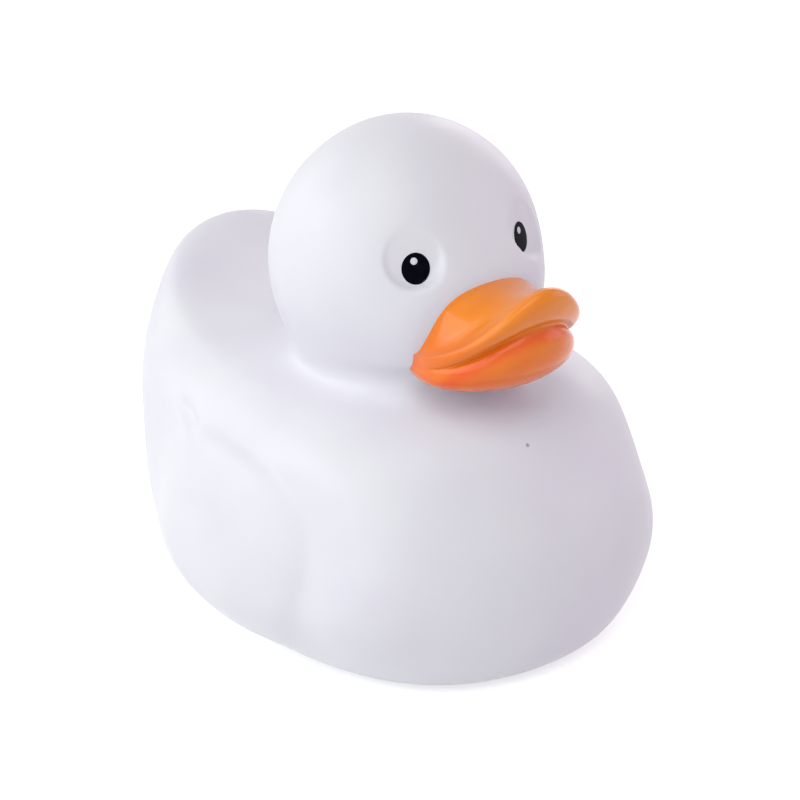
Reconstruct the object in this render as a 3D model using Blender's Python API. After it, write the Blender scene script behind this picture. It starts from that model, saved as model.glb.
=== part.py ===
"""Bath duck, rotationally moulded in soft vinyl as one hollow shell.

The duck faces -Y and its left side is +X.  Its skin is a loft: rings that run
round the body, the swept-up tail and the head are joined by a smooth surface.
The bill is a second loft round an upright axis inside the head.  The inside is
the same loft moved in by the wall, with a lobe in the bill, and it is opened by
the vent hole in the base.

All sizes are in millimetres; the meshes are written in metres.
"""

import math
from dataclasses import dataclass

import bmesh
import bpy
import numpy as np
from mathutils import Matrix, Vector

MM = 0.001

# Shell
WALL = 2.0                      # vinyl skin
VENT_DIAMETER = 3.2             # air hole through the base
VENT_Y = 2.0

# Head: an ellipsoid that rests on the neck ring
HEAD_HALF_WIDTH = 20.6
HEAD_HALF_DEPTH = 17.9
HEAD_HALF_HEIGHT = 20.3
HEAD_Y = -5.5
HEAD_Z = 55.1
FACE_SQUARENESS = 2.2           # fuller cheeks than an ellipse
HEAD_RING_ANGLES = (128.0, 102.0, 76.0, 50.0, 24.0)   # degrees down from the crown

# Skin sampling
SEGMENTS = 16                   # control points in one ring
RING_SAMPLES = 88
SKIN_STEPS = (1, 1, 3, 4, 5, 5, 3, 2, 2, 2, 2, 3, 3, 3, 3, 2, 2)      # rows in each span, base to crown
RING_SQUARENESS = 2.37          # 2 is an ellipse, more is boxier
TAIL_TAPER = 2.7                # how fast the tail's rim falls away to each side

# Wings: low moulded lobes on the flanks, placed in side view
WING_Y = -3.0
WING_Z = 17.5
WING_LENGTH = 38.0
WING_DEPTH = 30.6
WING_TILT = 4.0                 # degrees, rear end up
WING_SQUARENESS = 2.4
WING_RELIEF = 2.4
WING_GROOVE = 1.0               # valley along the front and upper edge
WING_GROOVE_WIDTH = 0.17        # in half depths of the wing
TAIL_DIMPLE_Y = 8.2             # where the wing's tip meets the tail's flank
TAIL_DIMPLE_Z = 32.2
TAIL_DIMPLE_DEPTH = 0.9
TAIL_DIMPLE_RADIUS = 3.4

# Bill: lofted round an upright axis inside the head
BILL_AXIS_Y = -15.8
BILL_LENGTH = 22.0              # axis to the front lip
BILL_HALF_WIDTH = 14.0
BILL_PLAN_SQUARENESS = 2.2
BILL_CORNER_ANGLE = 70.0        # degrees round from the front, to the mouth's corner
BILL_CORNER_PINCH = 0.35        # share of the width lost towards the corner
BILL_ROOT_Z = 56.8              # top of the bill where it leaves the face
BILL_LIP_Z = 60.3               # crest of the upturned front lip
BILL_SIDE_LIP_Z = 48.7
BILL_CORNER_Z = 46.4
BILL_CORNER_HEIGHT = 3.0
BILL_UNDER_Z = 40.8
BILL_UNDER_SPREAD = 55.0        # degrees over which the underside rises to the corner
LIP_UPTURN_SPREAD = 26.7        # degrees
LIP_BAND_FRONT = 5.3            # height of the upper lip's outer face
LIP_BAND_SIDE = 2.4
LIP_FLARE = 0.9
MOUTH_GROOVE = 1.5
BILL_DISH = 1.3                 # hollow of the upper bill behind its lip

# Hollow of the bill: an oval lobe of the duck's inside
HOLLOW_FRONT_WALL = 3.4         # behind the lip, whose mouth line is cut into it
HOLLOW_HALF_WIDTH = 8.6
HOLLOW_TOP_WALL = 3.2           # under the dished top
HOLLOW_UNDER_WALL = 3.0

# White fillet that runs out of the face on to the bill's root
FILLET_RISE = 2.4
FILLET_REACH = 0.6              # in widths of the root's outline
ROOT_Z = 48.5
ROOT_HALF_WIDTH = 10.2
ROOT_UP = 8.0
ROOT_DOWN = 6.5
ROOT_SQUARENESS = 2.6
CHIN_Z = 42.0                   # no swelling below the chin

# Eyes: a shallow flat moulded in the head, a printed oval and its catch-light
EYE_X = 9.5
EYE_Z = 59.7
EYE_HALF_WIDTH = 2.05
EYE_HALF_HEIGHT = 2.25
EYE_FLAT_UP = 1.1               # the flat's middle lies above the print's
EYE_FLAT_RADIUS = 4.3
EYE_FLAT_DEPTH = 0.65
PAINT_PROUD = 0.14
CATCH_LIGHT_RADIUS = 0.54
CATCH_LIGHT_UP = 1.05
CATCH_LIGHT_ASIDE = -0.22

WHITE, ORANGE, BLACK, DOT = range(4)


@dataclass(frozen=True)
class Station:
    """One ring of the body: where it passes in front, at the sides and behind."""
    front: tuple                # y, z
    side: tuple                 # x, y, z
    rear: tuple                 # y, z
    taper: float = 2.0          # how fast the height changes away from the front and rear


BODY = (
    Station((-28.0, 0.0), (20.0, -4.0, 0.0), (20.0, 0.0)),                        # flat underside
    Station((-36.0, 0.0), (25.5, -4.0, 0.0), (26.5, 0.0)),                        # edge of the flat
    Station((-43.2, 1.2), (29.0, -1.5, 1.2), (34.0, 1.2)),                        # rounded corner
    Station((-43.6, 12.2), (37.1, -11.3, 11.4), (37.4, 13.0)),                    # belly
    Station((-44.4, 23.7), (32.5, -4.2, 22.6), (43.4, 26.8), TAIL_TAPER),         # flank
    Station((-36.9, 33.6), (33.0, -1.5, 33.3), (41.3, 38.2), TAIL_TAPER),         # shoulder
    Station((-33.8, 36.6), (25.6, -3.1, 37.6), (43.9, 48.6), TAIL_TAPER),         # rim of the tail
    Station((-31.0, 38.0), (23.4, -2.6, 38.6), (40.0, 49.6), TAIL_TAPER),         # top of the tail
    Station((-28.4, 38.7), (21.0, -2.2, 39.2), (32.6, 43.6), TAIL_TAPER),         # scoop of the tail
    Station((-25.2, 39.2), (18.8, -3.8, 39.4), (19.9, 38.8)),                     # back
    Station((-22.2, 40.2), (16.9, -7.0, 40.4), (9.6, 40.6)),                      # neck
)


def smoothstep(low, high, value):
    """Return 0 below low, 1 above high, and an eased value between."""
    t = np.clip((value - low) / (high - low), 0.0, 1.0)
    return t * t * (3.0 - 2.0 * t)


def powered(value, power):
    """Return value raised to a power with its sign kept."""
    return np.sign(value) * np.abs(value) ** power


def station_ring(station):
    """Return the control points of one body ring, starting at the front."""
    theta = np.arange(SEGMENTS) * 2.0 * math.pi / SEGMENTS
    across = powered(np.sin(theta), 2.0 / RING_SQUARENESS)
    along = powered(np.cos(theta), 2.0 / RING_SQUARENESS)
    side_x, side_y, side_z = station.side
    end_y = np.where(along > 0, station.front[0], station.rear[0])
    end_z = np.where(along > 0, station.front[1], station.rear[1])
    weight = np.abs(along)
    y = side_y + (end_y - side_y) * weight
    z = side_z + (end_z - side_z) * np.abs(np.cos(theta)) ** station.taper
    return np.stack([side_x * across, y, z], axis=1)


def head_rings():
    """Return the head's control rings, from the neck up to the ring below the crown."""
    theta = np.arange(SEGMENTS) * 2.0 * math.pi / SEGMENTS
    fullness = np.where(np.cos(theta) > 0, 2.0 / FACE_SQUARENESS, 1.0)
    across, along = powered(np.sin(theta), fullness), powered(np.cos(theta), fullness)
    step = math.radians(HEAD_RING_ANGLES[0] - HEAD_RING_ANGLES[1])
    widen = 3.0 / (2.0 + math.cos(2.0 * math.pi / SEGMENTS))     # a spline lies inside its control points
    lengthen = 3.0 / (2.0 + math.cos(step))
    rings = []
    for angle in np.radians(HEAD_RING_ANGLES):
        reach = math.sin(angle) * widen * lengthen
        height = HEAD_Z + HEAD_HALF_HEIGHT * lengthen * math.cos(angle)
        rings.append(np.stack([
            HEAD_HALF_WIDTH * reach * across,
            HEAD_Y - HEAD_HALF_DEPTH * reach * along,
            np.full(SEGMENTS, height)], axis=1))
    crown = np.array([0.0, HEAD_Y, HEAD_Z + HEAD_HALF_HEIGHT * lengthen])
    return rings, crown


def spline_weights(parameters, count, closed):
    """Return the matrix that samples a uniform cubic spline of count control points."""
    first = np.floor(parameters).astype(int)
    if not closed:
        first = np.minimum(first, count - 3)
    u = parameters - first
    basis = (1 - u) ** 3, 3 * u ** 3 - 6 * u ** 2 + 4, -3 * u ** 3 + 3 * u ** 2 + 3 * u + 1, u ** 3
    weights = np.zeros((len(parameters), count))
    rows = np.arange(len(parameters))
    for offset, values in enumerate(basis):
        columns = first - 1 + offset
        np.add.at(weights, (rows, columns % count if closed else columns), values / 6.0)
    return weights


def loft(rings, bottom, top, ring_samples, steps):
    """Sample a smooth closed surface through control rings and the poles at its ends.

    Args:
        rings: control rings from bottom to top, each with the same number of points.
        bottom: the point under the first ring.
        top: the point over the last ring.
        ring_samples: points round the finished surface.
        steps: rows of points in each span between control rings, one number or one for each span.

    Returns:
        The bottom point, an array of rows of points, and the top point.
    """
    count = len(rings[0])
    over = np.array([-1.0, -1.0, 1.0])       # carries a ring to the far side of its pole, at the same height
    under_bottom = rings[0] * over + 2.0 * bottom * (over < 0)
    over_top = rings[-1] * over + 2.0 * top * (over < 0)
    cage = np.array([under_bottom, np.repeat([bottom], count, axis=0), *rings,
                     np.repeat([top], count, axis=0), over_top])
    spans = len(cage) - 3
    counts = np.broadcast_to(steps, spans)
    along = np.concatenate([span + 1.0 + np.arange(n) / n for span, n in enumerate(counts)])[1:]
    ends = spline_weights(np.array([1.0, spans + 1.0]), len(cage), False)
    rows = spline_weights(along, len(cage), False)
    round_it = spline_weights(np.arange(ring_samples) * count / ring_samples, count, True)
    low, high = (np.einsum("rc,cpk->rpk", ends, cage)).mean(axis=1)
    return low, np.einsum("rc,sp,cpk->rsk", rows, round_it, cage), high


def wing_relief(y, z):
    """Return how far the skin stands out at a place in side view, wings and dimple included."""
    tilt = math.radians(WING_TILT)
    along = (y - WING_Y) * math.cos(tilt) + (z - WING_Z) * math.sin(tilt)
    across = -(y - WING_Y) * math.sin(tilt) + (z - WING_Z) * math.cos(tilt)
    half_length = WING_LENGTH / 2.0
    half_depth = WING_DEPTH / 2.0
    power = WING_SQUARENESS
    edge = ((np.abs(along) / half_length) ** power + (np.abs(across) / half_depth) ** power) ** (1.0 / power)
    low_side = smoothstep(0.1, -0.9, across / half_depth)          # the lower edge melts into the belly
    lobe = WING_RELIEF * (1.0 - smoothstep(0.70 - 0.45 * low_side, 1.02 + 0.3 * low_side, edge))
    upper_front = smoothstep(-0.3, 0.6, across / half_depth - 0.7 * along / half_length)
    groove = WING_GROOVE * np.exp(-((edge - 1.04) / WING_GROOVE_WIDTH) ** 2) * upper_front
    off = np.hypot(y - TAIL_DIMPLE_Y, z - TAIL_DIMPLE_Z) / TAIL_DIMPLE_RADIUS
    return lobe - groove - TAIL_DIMPLE_DEPTH * np.exp(-off ** 2)


def fillet_relief(points):
    """Return how far the face swells out round the bill's root."""
    x, y, z = points[..., 0], points[..., 1], points[..., 2]
    half_height = np.where(z > ROOT_Z, ROOT_UP, ROOT_DOWN)
    power = ROOT_SQUARENESS
    edge = np.abs(x / ROOT_HALF_WIDTH) ** power + np.abs((z - ROOT_Z) / half_height) ** power
    edge = edge ** (1.0 / power)
    swell = FILLET_RISE * np.exp(-(np.maximum(edge - 0.95, 0.0) / FILLET_REACH) ** 2)
    in_front = smoothstep(HEAD_Y, HEAD_Y - 0.5 * HEAD_HALF_DEPTH, y)
    return swell * in_front * smoothstep(CHIN_Z, CHIN_Z + 4.5, z)


def eye_plane(side):
    """Return the middle of one eye's flat and its outward normal."""
    x, z = side * EYE_X, EYE_Z + EYE_FLAT_UP
    reach = math.sqrt(1.0 - (x / HEAD_HALF_WIDTH) ** 2 - ((z - HEAD_Z) / HEAD_HALF_HEIGHT) ** 2)
    out = np.array([x / HEAD_HALF_WIDTH ** 2, -reach / HEAD_HALF_DEPTH, (z - HEAD_Z) / HEAD_HALF_HEIGHT ** 2])
    out /= np.linalg.norm(out)
    return np.array([x, HEAD_Y - HEAD_HALF_DEPTH * reach, z]) - out * EYE_FLAT_DEPTH, out


def press_eye_flats(points):
    """Return the points with the skin round each eye pressed on to its flat."""
    for side in (-1.0, 1.0):
        middle, out = eye_plane(side)
        offset = points - middle
        height = offset @ out
        off = np.linalg.norm(offset - height[..., None] * out, axis=-1) / EYE_FLAT_RADIUS
        near = (height > -3.0 * EYE_FLAT_DEPTH) * (1.0 - smoothstep(0.7, 1.45, off))
        points = points - (near * height)[..., None] * out
    return points


def row_normals(rows):
    """Return outward normals of a sampled surface."""
    up = np.gradient(rows, axis=0)
    turn = np.roll(rows, -1, axis=1) - np.roll(rows, 1, axis=1)
    normals = np.cross(turn, up)
    return normals / np.maximum(np.linalg.norm(normals, axis=2, keepdims=True), 1e-12)


def duck_skin(ring_samples, steps):
    """Return the outer skin's poles, rows and normals, with wings and fillet moulded in."""
    rings, crown = head_rings()
    rings = [station_ring(station) for station in BODY] + rings
    centre = np.array([0.0, BODY[0].side[1], 0.0])
    low, rows, high = loft(rings, centre, crown, ring_samples, steps)
    normals = row_normals(rows)
    flank = smoothstep(0.25, 0.75, np.abs(normals[..., 0]))
    relief = flank * wing_relief(rows[..., 1], rows[..., 2]) * smoothstep(1.0, 6.0, rows[..., 2])
    relief = relief * (1.0 - smoothstep(36.0, 40.0, rows[..., 2])) + fillet_relief(rows)
    rows = press_eye_flats(rows + normals * relief[..., None])
    rows[..., 2] = np.maximum(rows[..., 2], 0.0)
    return low, rows, high


def bill_skin(ring_samples, steps):
    """Return the bill's loft: dished upper bill, upturned lip, mouth line and lower bill."""
    angle = np.degrees(np.arange(SEGMENTS * 2) * math.pi / SEGMENTS)
    angle = np.where(angle > 180.0, angle - 360.0, angle)
    turn = np.abs(angle)
    s, c = np.abs(np.sin(np.radians(angle))), np.abs(np.cos(np.radians(angle)))
    power = BILL_PLAN_SQUARENESS
    length = np.where(turn < 90.0, BILL_LENGTH, BILL_HALF_WIDTH)
    reach = ((s / BILL_HALF_WIDTH) ** power + (c / length) ** power) ** (-1.0 / power)
    reach *= 1.0 - BILL_CORNER_PINCH * smoothstep(40.0, BILL_CORNER_ANGLE + 15.0, turn)
    open_part = 1.0 - smoothstep(22.0, BILL_CORNER_ANGLE - 8.0, turn)
    upturn = np.exp(-(turn / LIP_UPTURN_SPREAD) ** 2)
    corner = smoothstep(38.0, BILL_CORNER_ANGLE + 8.0, turn)
    crest = BILL_SIDE_LIP_Z + (BILL_LIP_Z - BILL_SIDE_LIP_Z) * upturn
    crest += (BILL_CORNER_Z - BILL_SIDE_LIP_Z) * corner
    root = BILL_ROOT_Z + (BILL_CORNER_Z - 1.0 - BILL_ROOT_Z) * smoothstep(52.0, 100.0, turn)
    band = LIP_BAND_SIDE + (LIP_BAND_FRONT - LIP_BAND_SIDE) * upturn
    band *= 1.0 - 0.75 * corner
    mouth = crest - band
    under = BILL_CORNER_Z - BILL_CORNER_HEIGHT
    under = BILL_UNDER_Z + (under - BILL_UNDER_Z) * smoothstep(0.0, BILL_UNDER_SPREAD, turn)
    depth = mouth - under
    groove = MOUTH_GROOVE * open_part
    flare = LIP_FLARE * open_part

    def row(radius, height):
        direction = np.radians(angle)
        return np.stack([radius * np.sin(direction), BILL_AXIS_Y - radius * np.cos(direction),
                         np.broadcast_to(height, radius.shape)], axis=1)

    rings = [
        row(0.36 * reach, under + 0.01 * depth),
        row(0.70 * reach, under + 0.10 * depth),
        row(0.92 * reach, under + 0.32 * depth),
        row(1.01 * reach, under + 0.60 * depth),
        row(1.01 * reach, under + 0.85 * depth),
        row(reach - 0.35 * groove, under + 0.95 * depth),
        row(reach - groove, mouth),
        row(reach - 0.2 * groove, mouth + 0.1 * band),
        row(reach + flare, mouth + 0.3 * band),
        row(reach + flare, crest - 0.3 * band),
        row(reach + 0.2, crest),
        row(0.90 * reach, crest - 0.2 * band),
        row(0.70 * reach, root + 0.28 * (crest - root) - BILL_DISH * upturn),
        row(0.42 * reach, root),
    ]
    bottom = np.array([0.0, BILL_AXIS_Y, BILL_UNDER_Z])
    top = np.array([0.0, BILL_AXIS_Y, BILL_ROOT_Z])
    return loft(rings, bottom, top, ring_samples, steps)


def mesh_from_rows(name, low, rows, high):
    """Make a closed mesh object from two poles and the rows between them."""
    bm = bmesh.new()
    first = bm.verts.new(Vector(low) * MM)
    grid = [[bm.verts.new(Vector(point) * MM) for point in row] for row in rows]
    last = bm.verts.new(Vector(high) * MM)
    count = len(grid[0])
    for j in range(count):
        k = (j + 1) % count
        bm.faces.new((first, grid[0][k], grid[0][j]))
        bm.faces.new((last, grid[-1][j], grid[-1][k]))
        for lower, upper in zip(grid, grid[1:]):
            bm.faces.new((lower[j], lower[k], upper[k], upper[j]))
    bmesh.ops.recalc_face_normals(bm, faces=bm.faces)
    return finish_mesh(name, bm)


def finish_mesh(name, bm):
    """Write a bmesh to a new object of its own, shaded smooth."""
    for face in bm.faces:
        face.smooth = True
    mesh = bpy.data.meshes.new(name)
    bm.to_mesh(mesh)
    bm.free()
    obj = bpy.data.objects.new(name, mesh)
    bpy.context.scene.collection.objects.link(obj)
    return obj


def head_frame(duck, x, z):
    """Return the face's surface point at x, z and the axes there: across, up and outwards."""
    hit, point, *_ = duck.ray_cast(Vector((x, -2.0 * BILL_LENGTH - 50.0, z)) * MM, Vector((0.0, 1.0, 0.0)))
    if not hit:
        raise ValueError("an eye lies off the head")
    point = point / MM
    out = Vector(eye_plane(math.copysign(1.0, x))[1])
    across = Vector((0.0, 0.0, 1.0)).cross(out).normalized()
    return point, across, out.cross(across), out


def add_print(bm, duck, frame, half_width, half_height, above, sides):
    """Add an oval plate that follows the duck's skin, from inside the wall to above the surface."""
    centre, across, up, out = frame
    levels = []
    for level in (above, -WALL / 2.0):
        rings = []
        for share in (0.0, 0.55, 1.0):
            ring = []
            for step in range(sides if share else 1):
                turn = 2.0 * math.pi * step / sides
                start = (centre + across * (half_width * share * math.cos(turn))
                         + up * (half_height * share * math.sin(turn)))
                hit, point, *_ = duck.ray_cast((start + out * 10.0) * MM, -out)
                if not hit:
                    raise ValueError("a print runs off the head")
                ring.append(bm.verts.new(point + out * level * MM))
            rings.append(ring)
        levels.append(rings)
    for j in range(sides):
        k = (j + 1) % sides
        for (middle,), inner, outer in levels:
            bm.faces.new((middle, inner[j], inner[k]))
            bm.faces.new((inner[j], outer[j], outer[k], inner[k]))
        top, foot = levels[0][2], levels[1][2]
        bm.faces.new((top[j], foot[j], foot[k], top[k]))


def eye_tool(name, duck, half_width, half_height, above, up_shift=0.0, aside=0.0, sides=32):
    """Make one tool body that holds the same print at both eyes, rooted in the wall."""
    bm = bmesh.new()
    for side in (-1.0, 1.0):
        centre, across, up, out = head_frame(duck, side * EYE_X, EYE_Z)
        centre = centre + up * up_shift + across * aside
        add_print(bm, duck, (centre, across, up, out), half_width, half_height, above, sides)
    bmesh.ops.recalc_face_normals(bm, faces=bm.faces)
    return finish_mesh(name, bm)


def vent_tool():
    """Make the pin that leaves the vent hole in the base."""
    bm = bmesh.new()
    bmesh.ops.create_cone(bm, cap_ends=True, segments=24, radius1=VENT_DIAMETER / 2.0 * MM,
                          radius2=VENT_DIAMETER / 2.0 * MM, depth=4.0 * WALL * MM,
                          matrix=Matrix.Translation(Vector((0.0, VENT_Y, 0.0)) * MM))
    return finish_mesh("vent_pin", bm)


def inner_skin():
    """Make the cavity: a coarser copy of the skin, moved in by the wall."""
    low, rows, high = duck_skin(24, 2)
    rows = rows - row_normals(rows) * WALL
    rows[..., 2] = np.maximum(rows[..., 2], WALL)
    low = low + np.array([0.0, 0.0, WALL])
    high = high - np.array([0.0, 0.0, WALL])
    return mesh_from_rows("cavity", low, rows, high)


def bill_hollow():
    """Make the bill's inside, which opens into the head's."""
    front, rear = BILL_AXIS_Y - BILL_LENGTH + HOLLOW_FRONT_WALL, HEAD_Y - 0.5 * HEAD_HALF_DEPTH
    low, high = BILL_UNDER_Z + HOLLOW_UNDER_WALL, BILL_ROOT_Z - HOLLOW_TOP_WALL
    bm = bmesh.new()
    bmesh.ops.create_uvsphere(bm, u_segments=16, v_segments=8, radius=1.0)
    half = Vector((HOLLOW_HALF_WIDTH, (rear - front) / 2.0, (high - low) / 2.0))
    bmesh.ops.scale(bm, verts=bm.verts, vec=half * MM)
    bmesh.ops.translate(bm, verts=bm.verts, vec=Vector((0.0, (front + rear) / 2.0, (low + high) / 2.0)) * MM)
    return finish_mesh("bill_cavity", bm)


def paint(name, colour, roughness):
    """Return a Principled material."""
    material = bpy.data.materials.new(name)
    material.use_nodes = True
    shader = material.node_tree.nodes["Principled BSDF"]
    shader.inputs["Base Color"].default_value = (*colour, 1.0)
    shader.inputs["Roughness"].default_value = roughness
    shader.inputs["Metallic"].default_value = 0.0
    material.diffuse_color = (*colour, 1.0)
    return material


def give_paint(obj, materials, index):
    """Give an object the shared materials and set which one its faces wear."""
    for material in materials:
        obj.data.materials.append(material)
    for polygon in obj.data.polygons:
        polygon.material_index = index


def combine(target, tool, operation):
    """Join or cut a tool body by an exact Boolean, and hide the tool."""
    modifier = target.modifiers.new(tool.name, "BOOLEAN")
    modifier.operation = operation
    modifier.object = tool
    modifier.solver = "EXACT"
    tool.display_type = "WIRE"
    tool.hide_render = True


def build():
    """Build the duck."""
    for obj in list(bpy.data.objects):
        bpy.data.objects.remove(obj, do_unlink=True)

    materials = [paint("white_vinyl", (0.82, 0.81, 0.85), 0.42),
                 paint("orange_paint", (0.90, 0.26, 0.03), 0.28),
                 paint("black_print", (0.006, 0.006, 0.012), 0.35),
                 paint("white_print", (0.85, 0.85, 0.88), 0.35)]

    duck = mesh_from_rows("duck", *duck_skin(RING_SAMPLES, SKIN_STEPS))
    give_paint(duck, materials, WHITE)

    ovals = eye_tool("eye_ovals", duck, EYE_HALF_WIDTH, EYE_HALF_HEIGHT, PAINT_PROUD)
    lights = eye_tool("catch_lights", duck, CATCH_LIGHT_RADIUS, CATCH_LIGHT_RADIUS, 2.0 * PAINT_PROUD,
                      CATCH_LIGHT_UP, CATCH_LIGHT_ASIDE, 16)

    bill = mesh_from_rows("bill_form", *bill_skin(SEGMENTS * 3, 2))
    give_paint(bill, materials, ORANGE)
    combine(duck, bill, "UNION")

    give_paint(ovals, materials, BLACK)
    combine(duck, ovals, "UNION")

    give_paint(lights, materials, DOT)
    combine(duck, lights, "UNION")

    cavity = inner_skin()
    give_paint(cavity, materials, WHITE)
    combine(duck, cavity, "DIFFERENCE")

    hollow = bill_hollow()
    give_paint(hollow, materials, WHITE)
    combine(duck, hollow, "DIFFERENCE")

    vent = vent_tool()
    give_paint(vent, materials, WHITE)
    combine(duck, vent, "DIFFERENCE")

    reach = [vertex.co.y for obj in (duck, bill) for vertex in obj.data.vertices]
    to_middle = Matrix.Translation((0.0, -(min(reach) + max(reach)) / 2.0, 0.0))
    for obj in (duck, bill, ovals, lights, cavity, hollow, vent):
        obj.data.transform(to_middle)


build()
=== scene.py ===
"""Bath duck in soft white vinyl, with a painted bill and printed eyes, and the studio it stands in.

The duck faces -Y and its left side is +X.  Shapes are worked out in millimetres and written in
metres.
"""

from __future__ import annotations

import logging
import math
from dataclasses import dataclass, field
from enum import Enum

import bmesh
import bpy
import numpy as np
from mathutils import Matrix, Vector
from mathutils.bvhtree import BVHTree


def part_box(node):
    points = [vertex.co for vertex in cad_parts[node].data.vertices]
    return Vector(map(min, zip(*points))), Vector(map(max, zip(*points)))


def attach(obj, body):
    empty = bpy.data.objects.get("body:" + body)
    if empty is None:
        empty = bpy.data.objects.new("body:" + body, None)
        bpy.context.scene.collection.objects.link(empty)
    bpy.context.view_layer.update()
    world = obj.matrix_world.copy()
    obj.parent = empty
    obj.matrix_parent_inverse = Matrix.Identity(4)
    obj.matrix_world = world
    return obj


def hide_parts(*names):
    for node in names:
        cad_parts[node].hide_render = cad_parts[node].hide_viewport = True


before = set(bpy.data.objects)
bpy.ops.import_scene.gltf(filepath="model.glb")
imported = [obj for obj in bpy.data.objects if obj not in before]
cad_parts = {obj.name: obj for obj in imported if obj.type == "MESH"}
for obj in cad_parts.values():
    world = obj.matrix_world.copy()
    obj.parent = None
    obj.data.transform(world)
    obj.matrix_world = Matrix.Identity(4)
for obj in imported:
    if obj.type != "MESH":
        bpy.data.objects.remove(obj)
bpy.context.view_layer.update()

LOG = logging.getLogger("duck")
MM = 0.001
CAD_NODE = "duck"
BODY_NAME = "root"

Colour = tuple[float, float, float]
Span = tuple[float, float]  # the two ends of a range, or a pair of sizes or of places

# Noise seldom leaves this range.
NOISE_MIDDLE: Span = (0.3, 0.7)
NONE_TO_ALL: Span = (0.0, 1.0)
WHITE: Colour = (1.0, 1.0, 1.0)


class Coat(Enum):
    """What the faces of the moulding wear, in the order of its material slots."""

    VINYL = 0
    PAINT = 1


class Side(Enum):
    """The duck's own left and right, as the sign of X."""

    LEFT = 1.0
    RIGHT = -1.0


def smoothstep(low: float, high: float, value: np.ndarray) -> np.ndarray:
    """Ease from 0 to 1.

    Args:
        low: where the result leaves 0.
        high: where the result reaches 1.
        value: the values to ease.

    Returns:
        0 below low, 1 above high, and an eased value between.
    """
    share = np.clip((value - low) / (high - low), 0.0, 1.0)
    return share * share * (3.0 - 2.0 * share)


def powered(value: np.ndarray, power: float) -> np.ndarray:
    """Return value raised to a power, with its sign kept."""
    return np.sign(value) * np.abs(value) ** power


# ---------------------------------------------------------------- mesh helpers


def write_object(name: str, bm: bmesh.types.BMesh) -> bpy.types.Object:
    """Write a bmesh to a new object, shaded smooth.

    Args:
        name: name of the object and its mesh.
        bm: the shape, which is freed.

    Returns:
        The object, linked to the scene.
    """
    for face in bm.faces:
        face.smooth = True
    mesh = bpy.data.meshes.new(name)
    bm.to_mesh(mesh)
    bm.free()
    made = bpy.data.objects.new(name, mesh)
    bpy.context.scene.collection.objects.link(made)
    return made


def drop(thing: bpy.types.Object) -> None:
    """Remove a tool body and its mesh."""
    mesh = thing.data
    bpy.data.objects.remove(thing)
    bpy.data.meshes.remove(mesh)


def combine(target: bpy.types.Object, tool: bpy.types.Object, operation: str) -> None:
    """Join or cut a tool body by an exact Boolean, apply it and drop the tool.

    Args:
        target: the object that changes.
        tool: the closed body that joins or cuts it.
        operation: UNION or DIFFERENCE.
    """
    modifier = target.modifiers.new(tool.name, "BOOLEAN")
    modifier.operation = operation
    modifier.object = tool
    modifier.solver = "EXACT"
    graph = bpy.context.evaluated_depsgraph_get()
    result = bpy.data.meshes.new_from_object(target.evaluated_get(graph))
    target.modifiers.clear()
    before = target.data
    target.data = result
    bpy.data.meshes.remove(before)
    drop(tool)


# ---------------------------------------------------------------- lofted skins


@dataclass(frozen=True)
class Skin:
    """A closed skin: the point at its bottom, rows of points round it, and the point at its top."""

    low: np.ndarray
    rows: np.ndarray
    high: np.ndarray

    def normals(self) -> np.ndarray:
        """Return the outward normal at each point of the rows."""
        up = np.gradient(self.rows, axis=0)
        turn = np.roll(self.rows, -1, axis=1) - np.roll(self.rows, 1, axis=1)
        normals = np.cross(turn, up)
        return normals / np.maximum(np.linalg.norm(normals, axis=2, keepdims=True), 1e-12)

    def place(self, direction: Vector) -> np.ndarray:
        """Find where a point of a unit ball lies on the skin.

        Args:
            direction: a vertex of a ball with as many rings and segments as the skin has.

        Returns:
            The matching point of the skin.
        """
        levels, count = self.rows.shape[0] + 1, self.rows.shape[1]
        level = round(math.acos(max(-1.0, min(1.0, -direction.z))) / math.pi * levels)
        if level in (0, levels):
            return self.low if level == 0 else self.high
        turn = math.atan2(direction.x, -direction.y) / (2.0 * math.pi) * count
        return self.rows[level - 1][round(turn) % count]

    def blow(self, name: str) -> bpy.types.Object:
        """Blow a ball out to the skin, as vinyl fills its mould.

        Args:
            name: name of the new object.

        Returns:
            The closed body.
        """
        bm = bmesh.new()
        bmesh.ops.create_uvsphere(
            bm, u_segments=self.rows.shape[1], v_segments=self.rows.shape[0] + 1, radius=1.0
        )
        for vertex in bm.verts:
            vertex.co = Vector(self.place(vertex.co)) * MM
        bmesh.ops.recalc_face_normals(bm, faces=bm.faces)
        return write_object(name, bm)


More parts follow.
